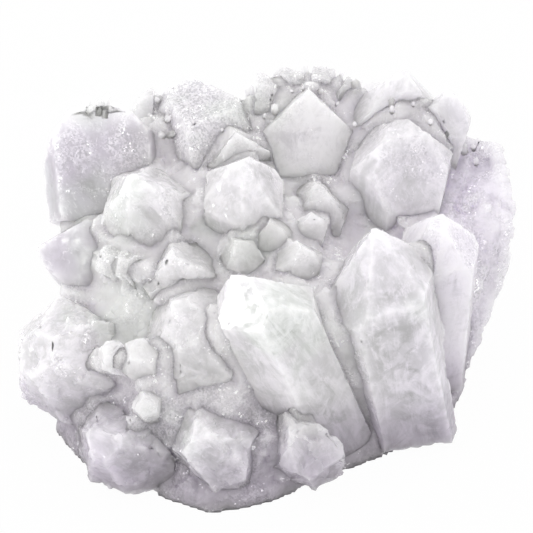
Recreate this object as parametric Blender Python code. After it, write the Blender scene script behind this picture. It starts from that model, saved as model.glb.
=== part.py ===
"""Quartz crystal cluster: a block of massive milky quartz with a crown of six-sided crystals.

The cluster rests on its flat underside at Z = 0. X runs along its long side, -Y is the side it is
looked at from and +Z is up. Lengths in the tables below are millimetres.

Each crystal is cut from a six-sided column by the faces that quartz grows: six prism faces along
its axis and six rhombohedral faces that close its tip. Where two crystals meet, the later one ends
on a face of the earlier one. The matrix fills what is left between them.
"""

import math
from dataclasses import dataclass

import bmesh
import bpy
from mathutils import Matrix, Vector, noise
from mathutils.bvhtree import BVHTree

MM = 0.001
NAME = "quartz_crystal_cluster"

# Quartz: the angle between a rhombohedral face's normal and the crystal's axis.
TIP_FACE_ANGLE = math.radians(51.8)
SIDES = 6
TURN = 2 * math.pi / SIDES

# Play between pieces that meet.
GAP = 0.3
# Points of one crystal closer than this are made one.
WELD = 0.08
# Points nearer to a cutting face than this lie on it.
CUT_TOLERANCE = 1e-3
TINY = 1e-9
# No crystal comes nearer to the resting face than this.
RIM = 3.0

# The matrix: corners of its underside, its height, and how far its top is set back per mm of height.
UNDERSIDE = (
    (-16, -63), (4, -57), (24, -45), (42, -36), (55, -26), (65, -12), (67, 8), (63, 30), (50, 43),
    (26, 50), (-6, 51), (-36, 48), (-56, 37), (-64, 18), (-66, -6), (-69, -26), (-56, -43), (-38, -53),
)
# The two front edges of the underside, from its foremost corner: their outward directions.
FRONT_CORNER = (-16, -64)
FRONT_EDGES = ((-0.57, -0.82), (0.53, -0.85))
FRONT_RIM = 6.0
FRONT_SLOPE = 1.8
MATRIX_HEIGHT = 48
SET_BACK = (0.05, 0.14)
# Shoulders of the top: how much each one adds to the height.
RIGHT_SHOULDER = 18
LEFT_SHOULDER = 12
BACK_RIDGE_LEFT = 11
BACK_RIDGE_RIGHT = 27
# How much steeper the front of the right shoulder is.
SHOULDER_SLOPE = 0.7
# The block is a sphere's grid laid over the shape: its rings and sectors, and the shares of the way
# from pole to pole where the underside ends and where the wall ends.
MATRIX_RINGS = 20
MATRIX_SECTORS = 48
UNDERSIDE_LEVEL = 0.15
WALL_LEVEL = 0.55
# Broken surface: depth of the coarse and of the fine relief, and the size of each.
ROUGHNESS = 4.0
ROUGHNESS_SIZE = 22
FINE_ROUGHNESS = 1.6
FINE_ROUGHNESS_SIZE = 9
ROUGHNESS_SEED = 5
# Below the first height nothing is rough, and from the second all is.
ROUGH_FROM = (2, 22)
# The right side leans out by this share at BULGE_HEIGHT.
BULGE = 0.17
BULGE_HEIGHT = 50
BULGE_SIDE = math.radians(10)
FLAT_ANGLE = math.radians(0.5)


@dataclass(frozen=True)
class Crystal:
    """One crystal. Its faces are numbered from the front one, towards +X."""

    name: str
    tip: tuple
    axis: tuple
    radius: float
    length: float
    roll: float = 0.0
    prism: tuple = (1.0, 1.0, 1.0, 1.0, 1.0, 1.0)
    cap: tuple = (0.0, 0.3, 0.0, 0.3, 0.0, 0.3)
    worn: float = 0.0
    finish: str = "clear"


CRYSTALS = (
    # The crystals that stand whole in the crown, front to back.
    Crystal("crystal_front_centre", (-7, -33, 74), (-0.34, 0.0, 0.94), 11.5, 80, 34,
            prism=(1.05, 1.45, 1.3, 1.0, 1.0, 0.95), cap=(0.5, 0.1, -0.1, 0.3, 0.3, 0.0)),
    Crystal("crystal_right_low", (55, -7, 75), (0.0, -0.04, 1.0), 12, 68, 18,
            cap=(0.2, 0.0, 0.2, 0.2, 0.1, 0.1), worn=0.25),
    Crystal("crystal_front_right", (33, -19, 77), (-0.20, 0.03, 0.98), 15, 80, 12,
            prism=(1.0, 1.05, 1.0, 1.0, 1.2, 1.2), cap=(0.0, 0.2, 0.3, 0.3, 0.1, 0.0)),
    Crystal("crystal_bright_hexagon", (15, 38, 89), (0.04, -0.10, 0.99), 13.5, 58, 3,
            prism=(0.82, 1.0, 1.0, 1.0, 1.0, 1.0), cap=(-0.75, 0.2, 0.1, 0.4, 0.1, 0.2)),
    Crystal("crystal_centre", (-6, 8, 84), (0.02, -0.22, 0.97), 12.5, 62, 28,
            cap=(0.1, 0.0, 0.3, 0.2, 0.3, 0.1)),
    Crystal("crystal_right_front", (46, 26, 86), (0.06, -0.14, 0.99), 15.5, 70, 16,
            cap=(-0.25, 0.3, 0.2, 0.3, 0.2, 0.3), worn=0.3),
    Crystal("crystal_right_back", (45, 46, 91), (0.05, 0.02, 1.0), 15, 46, 40,
            cap=(0.1, 0.2, 0.3, 0.2, 0.2, 0.0)),
    Crystal("crystal_left_point", (-74, 8, 50), (-0.92, -0.16, 0.34), 11, 54, 20),
    Crystal("crystal_left_block", (-55, 49, 77), (-0.10, 0.60, 0.79), 18, 43, 4,
            prism=(0.45, 1.0, 1.0, 1.0, 1.0, 0.95), cap=(0.65, 0.75, 0.3, -0.57, 0.3, 0.75)),
    Crystal("crystal_left_lump", (-76, -33, 41), (-0.52, -0.56, 0.64), 18, 60, 8,
            cap=(-0.1, 0.0, 0.1, 0.1, 0.0, 0.0), worn=0.45),
    Crystal("crystal_left_hexagon", (-41, 6, 79), (-0.20, -0.34, 0.92), 13.5, 60, 10,
            cap=(-0.2, 0.1, 0.0, 0.2, 0.1, 0.0), worn=0.3),
    Crystal("crystal_top_left", (-21, 44, 93), (-0.04, -0.06, 1.0), 17, 52, 25,
            cap=(-0.1, 0.2, 0.0, 0.3, 0.1, 0.1), finish="frosted", worn=0.7),
    Crystal("crystal_left_middle", (-27, -36, 57), (-0.24, -0.50, 0.83), 16, 58, 5,
            cap=(0.1, 0.1, 0.2, 0.3, 0.0, 0.0), worn=0.4),
    # Smaller ones between them.
    Crystal("crystal_centre_back", (-9, 28, 82), (-0.05, -0.12, 0.99), 10, 50, 15),
    Crystal("crystal_hollow", (18, 16, 68), (0.05, -0.30, 0.95), 10, 44, 10, worn=0.3),
    Crystal("crystal_between", (-29, -13, 65), (-0.20, -0.30, 0.93), 12, 50, 0),
    Crystal("crystal_small_upper", (15, 4, 68), (0.10, -0.30, 0.95), 6, 40, 20),
    Crystal("crystal_small_middle", (2, -2, 69), (-0.10, -0.30, 0.95), 7, 44, 5),
    Crystal("crystal_small_lower", (12, -12, 67), (0.10, -0.35, 0.93), 7, 44, 25),
    Crystal("crystal_small_left", (-9, -8, 66), (-0.20, -0.35, 0.92), 7, 40, 35),
    Crystal("crystal_bead_outer", (-52, -8, 60), (-0.45, -0.45, 0.77), 4.5, 30, 10),
    Crystal("crystal_bead_inner", (-45, -12, 62), (-0.30, -0.45, 0.84), 4.5, 30, 25),
    Crystal("crystal_flank_tooth", (-41, -42, 47), (-0.30, -0.70, 0.65), 6, 34, 0),
    Crystal("crystal_flank_chip", (-49, -40, 47), (-0.36, -0.60, 0.70), 5, 30, 20),
    Crystal("crystal_flank_finger", (-37, -48, 37), (-0.10, -0.42, 0.90), 4.2, 30, 15),
    # The flank that leans out over the front and left of the base.
    Crystal("crystal_base_left", (-52, -57, 24), (-0.40, -0.64, 0.66), 17, 46, 25,
            cap=(-0.1, 0.1, 0.0, 0.2, 0.0, 0.0), worn=0.35),
    Crystal("crystal_base_front", (-20, -57, 32), (-0.16, -0.45, 0.88), 14, 46, 10, worn=0.2),
    Crystal("crystal_base_middle", (9, -52, 29), (-0.24, -0.42, 0.87), 12, 46, 30, worn=0.2),
    # The sparkling ridge along the back.
    Crystal("crystal_ridge_knob", (29, 54, 86), (0.05, 0.10, 1.0), 6, 28, 15, worn=0.4),
    Crystal("crystal_ridge_a", (-3, 52, 90), (-0.12, 0.0, 1.0), 8, 28, 5, finish="frosted", worn=0.5),
    Crystal("crystal_ridge_b", (9, 56, 89), (0.10, 0.10, 1.0), 7, 26, 25, finish="frosted", worn=0.4),
    Crystal("crystal_ridge_c", (19, 57, 90), (0.0, 0.16, 1.0), 8, 26, 40, finish="frosted", worn=0.5),
    Crystal("crystal_ridge_left", (-39, 57, 80), (-0.20, 0.15, 0.97), 10, 38, 10, worn=0.3),
    Crystal("crystal_far_right", (61, 45, 87), (0.25, 0.10, 0.95), 10, 40, 20, worn=0.2),
    # The back and the right side.
    Crystal("crystal_back_left", (-62, 52, 40), (-0.52, 0.66, 0.54), 14, 40, 10, worn=0.2),
    Crystal("crystal_back_middle", (-24, 70, 44), (-0.14, 0.82, 0.55), 14, 40, 20),
    Crystal("crystal_back_right", (44, 64, 44), (0.40, 0.74, 0.54), 13, 38, 35, worn=0.2),
    Crystal("crystal_back_low", (10, 70, 36), (0.06, 0.86, 0.50), 12, 36, 15, worn=0.3),
    Crystal("crystal_right_side", (82, 20, 42), (0.80, 0.06, 0.60), 10, 34, 5, worn=0.2),
)


class Face:
    """A flat face: a point on it and its outward normal, in millimetres."""

    def __init__(self, point, normal):
        self.point = Vector(point)
        self.normal = Vector(normal).normalized()

    def moved(self, distance):
        """The same face, further out."""
        return Face(self.point + self.normal * distance, self.normal)

    def turned(self):
        """The same face, facing the other way."""
        return Face(self.point, -self.normal)


def place_of(spec):
    """Where a crystal stands: its tip is the origin, +Z its axis, and X the side nearest the front."""
    axis = Vector(spec.axis).normalized()
    front = Vector((0, -1, 0))
    front = (front - axis * front.dot(axis)).normalized()
    right = axis.cross(front)
    turned = Matrix((front, right, axis)).transposed().to_4x4()
    return Matrix.Translation(Vector(spec.tip)) @ turned


def faces_of(spec):
    """The growth faces and the broken end of a crystal, in the cluster's frame."""
    place = place_of(spec)
    turn = place.to_3x3()
    faces = []
    for side in range(SIDES):
        angle = side * TURN + math.radians(spec.roll)
        out = Vector((math.cos(angle), math.sin(angle), 0))
        faces.append(Face(place @ (out * spec.radius * spec.prism[side]), turn @ out))
        tip_face = out * math.sin(TIP_FACE_ANGLE) + Vector((0, 0, math.cos(TIP_FACE_ANGLE)))
        faces.append(Face(place @ Vector((0, 0, spec.cap[side] * spec.radius)), turn @ tip_face))
    faces.append(Face(place @ Vector((0, 0, -spec.worn * spec.radius)), turn @ Vector((0, 0, 1))))
    faces.append(Face(place @ Vector((0, 0, -spec.length)), turn @ Vector((0, 0, -1))))
    faces.append(Face((0, 0, RIM), (0, 0, -1)))
    return faces


def cut(mesh, face):
    """Takes off what lies outside a face and closes the cut."""
    everything = mesh.verts[:] + mesh.edges[:] + mesh.faces[:]
    bmesh.ops.bisect_plane(
        mesh,
        geom=everything,
        dist=CUT_TOLERANCE,
        plane_co=face.point,
        plane_no=face.normal,
        clear_outer=True,
    )
    rim = [edge for edge in mesh.edges if edge.is_boundary]
    if rim:
        bmesh.ops.holes_fill(mesh, edges=rim, sides=0)


def solid_of(spec, faces, grow=0.0):
    """The body inside all the faces, each moved out by grow. Millimetres, in the cluster's frame."""
    mesh = bmesh.new()
    width = 3 * spec.radius
    depth = spec.length + 2 * width
    column = place_of(spec) @ Matrix.Translation((0, 0, width - depth / 2))
    bmesh.ops.create_cone(
        mesh, cap_ends=True, segments=SIDES, radius1=width, radius2=width, depth=depth, matrix=column
    )
    for face in faces:
        cut(mesh, face.moved(grow))
    bmesh.ops.remove_doubles(mesh, verts=mesh.verts, dist=WELD)
    bmesh.ops.dissolve_degenerate(mesh, edges=mesh.edges, dist=WELD)
    bmesh.ops.recalc_face_normals(mesh, faces=mesh.faces)
    return mesh


def meets(first, second):
    """Whether two convex bodies share any space."""
    if BVHTree.FromBMesh(first).overlap(BVHTree.FromBMesh(second)):
        return True
    middle = sum((v.co for v in second.verts), Vector()) / len(second.verts)
    return all((middle - f.verts[0].co).dot(f.normal) < 0 for f in first.faces)


def ending_on(spec, faces, neighbour):
    """The face of the neighbour that leaves most of a crystal standing, turned to bound it."""
    best, most = None, -1.0
    for face in neighbour:
        bound = face.moved(GAP).turned()
        left = solid_of(spec, faces + [bound])
        volume = left.calc_volume() if left.faces else 0.0
        left.free()
        if volume > most:
            best, most = bound, volume
    return best


def grown_crystals():
    """Every crystal's faces, each crystal ending on the ones that come before it."""
    grown = {}
    for spec in CRYSTALS:
        faces = faces_of(spec)
        for _, earlier, room in grown.values():
            body = solid_of(spec, faces)
            if body.faces and meets(room, body):
                faces.append(ending_on(spec, faces, earlier))
            body.free()
        grown[spec.name] = (spec, faces, solid_of(spec, faces, GAP))
    return grown


def outline_reach(angle):
    """How far the underside reaches from its middle in a direction."""
    ray = Vector((math.cos(angle), math.sin(angle)))
    corners = [Vector(c) for c in UNDERSIDE]
    for first, second in zip(corners, corners[1:] + corners[:1]):
        side = second - first
        across = ray.x * side.y - ray.y * side.x
        if abs(across) < TINY:
            continue
        reach = (first.x * side.y - first.y * side.x) / across
        along = (first.x * ray.y - first.y * ray.x) / across
        if reach > 0 and -TINY <= along <= 1 + TINY:
            return reach
    raise ValueError("the underside has a gap")


def ramp(value, low, high):
    """0 below low, 1 above high, and a straight line between."""
    return min(max((value - low) / (high - low), 0.0), 1.0)


def matrix_top(x, y):
    """The height that the massive quartz fills to: low at the front, high at the right and back."""
    corner = Vector((x, y)) - Vector(FRONT_CORNER)
    inward = min(-corner.dot(Vector(edge)) for edge in FRONT_EDGES)
    right = ramp(x, 48, 60) * ramp(y, -20, 24)
    ridge = BACK_RIDGE_LEFT + (BACK_RIDGE_RIGHT - BACK_RIDGE_LEFT) * ramp(x, -16, -6)
    back = ramp(y, 30, 42)
    left = ramp(-x, 20, 45) * ramp(y, 5, 28)
    slope = FRONT_SLOPE * (1 + SHOULDER_SLOPE * right)
    crown = MATRIX_HEIGHT + max(RIGHT_SHOULDER * right, ridge * back, LEFT_SHOULDER * left)
    return min(crown, FRONT_RIM + slope * max(inward, 0.0))


def spread(level):
    """How far out and how far up the matrix is, as shares, from its underside (0) to its top (1)."""
    if level < UNDERSIDE_LEVEL:
        return level / UNDERSIDE_LEVEL, 0.0
    if level < WALL_LEVEL:
        return 1.0, (level - UNDERSIDE_LEVEL) / (WALL_LEVEL - UNDERSIDE_LEVEL)
    return (1 - level) / (1 - WALL_LEVEL), 1.0


def rough_block():
    """The massive quartz before the crystals take their room: broken sides and a flat underside."""
    noise.seed_set(ROUGHNESS_SEED)
    mesh = bmesh.new()
    bmesh.ops.create_uvsphere(mesh, u_segments=MATRIX_SECTORS, v_segments=MATRIX_RINGS, radius=1)
    for vert in mesh.verts:
        spot = vert.co.copy()
        angle = math.atan2(spot.y, spot.x)
        out, rise = spread(math.acos(max(-1.0, min(1.0, -spot.z))) / math.pi)
        reach = outline_reach(angle) * out
        height = matrix_top(reach * math.cos(angle), reach * math.sin(angle)) * rise
        reach *= 1 + BULGE * ramp(height, 0, BULGE_HEIGHT) * max(0.0, math.cos(angle - BULGE_SIDE))
        place = Vector((reach * math.cos(angle), reach * math.sin(angle), height))
        coarse = noise.noise_vector(place / ROUGHNESS_SIZE) * ROUGHNESS
        fine = noise.noise_vector(place / FINE_ROUGHNESS_SIZE) * FINE_ROUGHNESS
        lean = Vector((SET_BACK[0] * height, SET_BACK[1] * height, 0))
        vert.co = place + lean + (coarse + fine) * ramp(height, *ROUGH_FROM)
    bmesh.ops.remove_doubles(mesh, verts=mesh.verts, dist=WELD)
    bmesh.ops.dissolve_limit(mesh, angle_limit=FLAT_ANGLE, verts=mesh.verts, edges=mesh.edges)
    bmesh.ops.triangulate(mesh, faces=mesh.faces)
    bmesh.ops.recalc_face_normals(mesh, faces=mesh.faces)
    return mesh


def keep_largest(mesh):
    """Leaves only the largest of the bodies that a cut has parted."""
    bodies, seen = [], set()
    for start in mesh.faces:
        if start in seen:
            continue
        body, todo = set(), [start]
        while todo:
            face = todo.pop()
            if face in body:
                continue
            body.add(face)
            todo += [other for edge in face.edges for other in edge.link_faces if other not in body]
        seen |= body
        bodies.append(body)
    largest = max(bodies, key=lambda body: sum(face.calc_area() for face in body))
    bmesh.ops.delete(mesh, geom=[face for face in mesh.faces if face not in largest], context="FACES")


def collection(name):
    """A new collection in the scene."""
    made = bpy.data.collections.new(name)
    bpy.context.scene.collection.children.link(made)
    return made


def stone(name, colour, roughness):
    """A material of its own for one piece."""
    made = bpy.data.materials.new(name)
    made.use_nodes = True
    shader = made.node_tree.nodes["Principled BSDF"]
    shader.inputs["Base Color"].default_value = (*colour, 1)
    shader.inputs["Roughness"].default_value = roughness
    shader.inputs["Metallic"].default_value = 0.0
    return made


FINISHES = {
    "clear": ((0.78, 0.77, 0.79), 0.18),
    "frosted": ((0.82, 0.81, 0.83), 0.45),
    "massive": ((0.84, 0.83, 0.86), 0.60),
}


def add_object(mesh, name, place, into):
    """An object with its own origin, made from a mesh in the cluster's frame in millimetres."""
    mesh.transform(place.inverted())
    mesh.transform(Matrix.Scale(MM, 4))
    data = bpy.data.meshes.new(name)
    mesh.to_mesh(data)
    mesh.free()
    made = bpy.data.objects.new(name, data)
    turned = place.to_3x3().to_4x4()
    made.matrix_world = Matrix.Translation(place.translation * MM) @ turned
    into.objects.link(made)
    return made


def build_matrix(rooms, parts, cutters):
    """The massive quartz with a socket for every crystal."""
    block = add_object(rough_block(), "matrix", Matrix.Identity(4), parts)
    for name, (spec, _, room) in rooms.items():
        cutter = add_object(room, f"socket_{name}", place_of(spec), cutters)
        cutter.hide_render = True
        cutter.display_type = "WIRE"
    bpy.context.view_layer.update()
    sockets = block.modifiers.new("sockets", "BOOLEAN")
    sockets.operation = "DIFFERENCE"
    sockets.operand_type = "COLLECTION"
    sockets.collection = cutters
    sockets.solver = "EXACT"
    graph = bpy.context.evaluated_depsgraph_get()
    mesh = bmesh.new()
    mesh.from_object(block, graph)
    block.modifiers.remove(sockets)
    bmesh.ops.remove_doubles(mesh, verts=mesh.verts, dist=CUT_TOLERANCE * MM)
    keep_largest(mesh)
    mesh.to_mesh(block.data)
    mesh.free()
    block.data.materials.append(stone("matrix", *FINISHES["massive"]))
    return block


def stand_on_origin(parts, cutters):
    """Moves everything so that the middle of the cluster's box stands over the origin."""
    bpy.context.view_layer.update()
    places = [part.matrix_world @ vert.co for part in parts.objects for vert in part.data.vertices]
    middle = [(min(p[side] for p in places) + max(p[side] for p in places)) / 2 for side in (0, 1)]
    for moved in [*parts.objects, *cutters.objects]:
        moved.location -= Vector((*middle, 0))


def main():
    """Clears the scene, grows the crystals and fits the matrix round them."""
    for old in list(bpy.data.objects):
        bpy.data.objects.remove(old)
    parts = collection(NAME)
    cutters = collection("sockets")
    grown = grown_crystals()
    for name, (spec, faces, _) in grown.items():
        crystal = add_object(solid_of(spec, faces), name, place_of(spec), parts)
        crystal.data.materials.append(stone(name, *FINISHES[spec.finish]))
    build_matrix(grown, parts, cutters)
    stand_on_origin(parts, cutters)


main()
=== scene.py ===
"""Looks of a quartz crystal cluster: grown crystals, the massive quartz they stand in, and the druse between.

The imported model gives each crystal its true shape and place. Here the crystals get worn edges, the fine
relief of grown faces and a clear-to-milky finish. The massive quartz gets its broken surface, and small
crystals grow on it where the large ones leave room. Lengths are metres, +Z is up, and -Y is the front.
"""

import logging
import math
import random
from dataclasses import dataclass, field
from enum import Enum

import bpy
import numpy as np
from mathutils import Matrix, Vector, noise
from mathutils.kdtree import KDTree


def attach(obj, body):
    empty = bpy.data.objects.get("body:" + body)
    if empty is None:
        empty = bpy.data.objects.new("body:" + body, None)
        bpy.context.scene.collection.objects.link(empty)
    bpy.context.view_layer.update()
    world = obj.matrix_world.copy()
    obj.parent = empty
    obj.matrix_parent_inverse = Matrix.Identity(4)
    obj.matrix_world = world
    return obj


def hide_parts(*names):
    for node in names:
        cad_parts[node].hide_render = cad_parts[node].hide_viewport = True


MM = 0.001
BODY = "root"
NOISE_SEED = 11
NUMBER = "NodeSocketFloat"
COLOUR = "NodeSocketColor"

log = logging.getLogger("quartz")

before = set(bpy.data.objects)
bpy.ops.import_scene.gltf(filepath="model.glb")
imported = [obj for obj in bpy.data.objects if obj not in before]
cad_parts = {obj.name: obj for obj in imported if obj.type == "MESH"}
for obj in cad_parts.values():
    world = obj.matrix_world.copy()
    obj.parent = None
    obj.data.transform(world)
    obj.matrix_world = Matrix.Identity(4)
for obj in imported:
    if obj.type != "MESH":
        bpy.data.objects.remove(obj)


class Slot(Enum):
    """The record's material slots."""

    CLEAR = "clear_quartz"
    FROSTED = "frosted_quartz"
    MASSIVE = "massive_quartz"


# ---------------------------------------------------------------- node trees


EVEN = (1.0, 1.0, 1.0)
STRAIGHT = (0.0, 0.0, 0.0)


class Sheet:
    """A node tree while it is being wired."""

    def __init__(self, tree: bpy.types.NodeTree) -> None:
        """Keeps the tree.

        Args:
            tree: where nodes are added.
        """
        self.tree = tree

    def add(self, kind: str, **settings: object) -> bpy.types.Node:
        """Adds a node.

        Args:
            kind: the node's type name.
            settings: properties to set on it.

        Returns:
            The new node.
        """
        node = self.tree.nodes.new(kind)
        for name, value in settings.items():
            setattr(node, name, value)
        return node

    def feed(self, socket: bpy.types.NodeSocket, value: object) -> None:
        """Links a socket to an output, or sets it to a constant.

        Args:
            socket: the input.
            value: an output or a constant.
        """
        if isinstance(value, bpy.types.NodeSocket):
            self.tree.links.new(value, socket)
        else:
            socket.default_value = value

    def calc(
        self, operation: str, first: object, second: object = 0.0, clamp: bool = True
    ) -> bpy.types.NodeSocket:
        """A Math node's result.

        Args:
            operation: the Math node's operation.
            first: an output or a number.
            second: an output or a number.
            clamp: whether the result is kept between 0 and 1.

        Returns:
            The result socket.
        """
        node = self.add("ShaderNodeMath", operation=operation, use_clamp=clamp)
        self.feed(node.inputs[0], first)
        self.feed(node.inputs[1], second)
        return node.outputs[0]

    def between(
        self, value: object, step: tuple, start: float = 0.0, end: float = 1.0
    ) -> bpy.types.NodeSocket:
        """A smooth step.

        Args:
            value: an output or a number.
            step: where the step starts and where it ends.
            start: the result before it.
            end: the result after it.

        Returns:
            The result socket.
        """
        node = self.add("ShaderNodeMapRange", interpolation_type="SMOOTHSTEP")
        for index, number in enumerate((value, *step, start, end)):
            self.feed(node.inputs[index], number)
        return node.outputs[0]

    def blend(self, share: object, first: object, second: object) -> bpy.types.NodeSocket:
        """A colour between two.

        Args:
            share: how much of the second colour.
            first: an output or a colour.
            second: an output or a colour.

        Returns:
            The colour socket.
        """
        node = self.add("ShaderNodeMix", data_type="RGBA", blend_type="MIX")
        self.feed(node.inputs[0], share)
        self.feed(node.inputs[6], first)
        self.feed(node.inputs[7], second)
        return node.outputs[2]

    def mapped(self, source: bpy.types.NodeSocket, stretch: tuple, turn: tuple) -> bpy.types.NodeSocket:
        """Coordinates, stretched and turned.

        Args:
            source: the coordinates.
            stretch: scale along each axis.
            turn: rotation about each axis, in radians.

        Returns:
            The vector socket.
        """
        mapping = self.add("ShaderNodeMapping")
        self.feed(mapping.inputs["Vector"], source)
        mapping.inputs["Scale"].default_value = stretch
        mapping.inputs["Rotation"].default_value = turn
        return mapping.outputs[0]

    def place(self, stretch: tuple = EVEN, turn: tuple = STRAIGHT) -> bpy.types.NodeSocket:
        """The place on the whole cluster. Its arguments are those of mapped."""
        return self.mapped(self.add("ShaderNodeTexCoord").outputs["Object"], stretch, turn)

    def grown(self, stretch: tuple = EVEN, turn: tuple = STRAIGHT) -> bpy.types.NodeSocket:
        """The place in one crystal, its long direction along Z. Its arguments are those of mapped."""
        carried = self.add("ShaderNodeAttribute", attribute_type="GEOMETRY", attribute_name="grown")
        return self.mapped(carried.outputs["Vector"], stretch, turn)

    def cloud(
        self, where: object, size: float, detail: float = 4.0, rough: float = 0.55, warp: float = 0.0
    ) -> bpy.types.NodeSocket:
        """Noise whose features are about so large.

        Args:
            where: the vector it reads.
            size: a feature's size in metres.
            detail: how many finer layers.
            rough: how strong the finer layers are.
            warp: how far it is swirled.

        Returns:
            The factor socket.
        """
        node = self.add("ShaderNodeTexNoise")
        self.feed(node.inputs["Vector"], where)
        node.inputs["Scale"].default_value = 1 / size
        node.inputs["Detail"].default_value = detail
        node.inputs["Roughness"].default_value = rough
        node.inputs["Distortion"].default_value = warp
        return node.outputs["Fac"]

    def cells(self, where: object, size: float, feature: str = "F1") -> bpy.types.Node:
        """Voronoi cells about so large.

        Args:
            where: the vector it reads.
            size: a cell's size in metres.
            feature: the Voronoi feature.

        Returns:
            The node.
        """
        node = self.add("ShaderNodeTexVoronoi", feature=feature)
        self.feed(node.inputs["Vector"], where)
        node.inputs["Scale"].default_value = 1 / size
        return node

    def attribute(self, name: str) -> bpy.types.NodeSocket:
        """A number that the mesh carries."""
        return self.add("ShaderNodeAttribute", attribute_type="GEOMETRY", attribute_name=name).outputs["Fac"]

    def channels(self, colour: bpy.types.NodeSocket) -> bpy.types.Node:
        """The three parts of a colour.

        Args:
            colour: the colour's output.

        Returns:
            The node.
        """
        node = self.add("ShaderNodeSeparateColor")
        self.feed(node.inputs[0], colour)
        return node


def new_group(name: str, inputs: dict, outputs: dict) -> tuple:
    """Starts a shader node group.

    Args:
        name: the group's name.
        inputs: socket name to (socket type, default value).
        outputs: socket name to socket type.

    Returns:
        The group, its Sheet, its input node and its output node.
    """
    group = bpy.data.node_groups.new(name, "ShaderNodeTree")
    for label, (kind, default) in inputs.items():
        socket = group.interface.new_socket(label, in_out="INPUT", socket_type=kind)
        socket.default_value = default
    for label, kind in outputs.items():
        group.interface.new_socket(label, in_out="OUTPUT", socket_type=kind)
    sheet = Sheet(group)
    return group, sheet, sheet.add("NodeGroupInput"), sheet.add("NodeGroupOutput")


@dataclass(frozen=True)
class GrowthVeils:
    """What is seen inside quartz. Its patterns follow each crystal's own long direction."""

    haze: float = 11 * MM
    haze_share: float = 0.58
    wisp: float = 4 * MM
    wisp_share: float = 0.42
    milk_share: float = 0.2
    veil_step: tuple = (0.5, 0.68)
    depth: float = 12 * MM
    depth_step: tuple = (0.42, 0.58)
    fracture: float = 12 * MM
    fracture_step: tuple = (0.0, 0.02)
    gap: float = 5 * MM
    gap_step: tuple = (0.5, 0.64)
    fibre: float = 0.8 * MM
    fibre_step: tuple = (0.55, 0.7)
    bundle: float = 9 * MM
    bundle_step: tuple = (0.48, 0.6)
    plane: float = 8 * MM
    plane_step: tuple = (0.35, 0.8)
    middle: float = 0.5

    def make(self) -> bpy.types.NodeTree:
        """Builds the node group.

        Returns:
            A group that puts out the masks Veil, Depth, Fracture, Fibre and Plane.
        """
        masks = ("Veil", "Depth", "Fracture", "Fibre", "Plane")
        group, sheet, given, out = new_group(
            "growth_veils", {"Milkiness": (NUMBER, 0.5)}, {mask: NUMBER for mask in masks}
        )
        where = sheet.grown(turn=(0.3, 0.5, 0.2))
        sheet.feed(out.inputs["Veil"], self.veil(sheet, where, given.outputs["Milkiness"]))
        deep = sheet.cloud(sheet.grown(turn=(1.1, 0.3, 0.8)), self.depth, 7.0, 0.66, 0.8)
        sheet.feed(out.inputs["Depth"], sheet.between(deep, self.depth_step))
        sheet.feed(out.inputs["Fracture"], self.healed(sheet, where))
        sheet.feed(out.inputs["Fibre"], self.threads(sheet, where))
        cells = sheet.cells(sheet.grown((1.0, 1.0, 0.55), (0.5, 0.2, 0.1)), self.plane)
        tone = sheet.channels(cells.outputs["Color"])
        sheet.feed(out.inputs["Plane"], sheet.between(tone.outputs[1], self.plane_step))
        return group

    def veil(
        self, sheet: Sheet, where: bpy.types.NodeSocket, milkiness: bpy.types.NodeSocket
    ) -> bpy.types.NodeSocket:
        """Milky haze and wisps.

        Args:
            sheet: the group's tree.
            where: the coordinates.
            milkiness: how much of the quartz they fill.

        Returns:
            The mask.
        """
        haze = sheet.cloud(where, self.haze, 8.0, 0.68, 0.9)
        wisp = sheet.cloud(sheet.grown((1.0, 1.0, 0.3), (0.15, 0.1, 0.0)), self.wisp, 6.0, 0.68, 1.0)
        hazy = sheet.calc("MULTIPLY", haze, self.haze_share)
        cover = sheet.calc("ADD", hazy, sheet.calc("MULTIPLY", wisp, self.wisp_share))
        shifted = sheet.calc("ADD", cover, sheet.calc("MULTIPLY", milkiness, self.milk_share))
        return sheet.between(shifted, self.veil_step)

    def healed(self, sheet: Sheet, where: bpy.types.NodeSocket) -> bpy.types.NodeSocket:
        """Thin fractures that have healed, with gaps.

        Args:
            sheet: the group's tree.
            where: the coordinates.

        Returns:
            The mask.
        """
        sheets = sheet.cloud(sheet.grown((1.0, 0.45, 0.8), (0.2, 0.9, 0.3)), self.fracture, 5.0, 0.6, 0.5)
        away = sheet.calc("ABSOLUTE", sheet.calc("SUBTRACT", sheets, self.middle, clamp=False))
        thin = sheet.between(away, self.fracture_step, 1.0, 0.0)
        gaps = sheet.between(sheet.cloud(where, self.gap, 4.0, 0.6), self.gap_step)
        return sheet.calc("MULTIPLY", thin, gaps)

    def threads(self, sheet: Sheet, where: bpy.types.NodeSocket) -> bpy.types.NodeSocket:
        """Fibres in bundles along the crystal.

        Args:
            sheet: the group's tree.
            where: the coordinates.

        Returns:
            The mask.
        """
        lengthwise = sheet.cloud(sheet.grown((1.0, 1.0, 0.07), (0.08, 0.05, 0.0)), self.fibre, 3.0)
        bundles = sheet.between(sheet.cloud(where, self.bundle, 4.0, 0.6), self.bundle_step)
        return sheet.calc("MULTIPLY", sheet.between(lengthwise, self.fibre_step), bundles)


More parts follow.
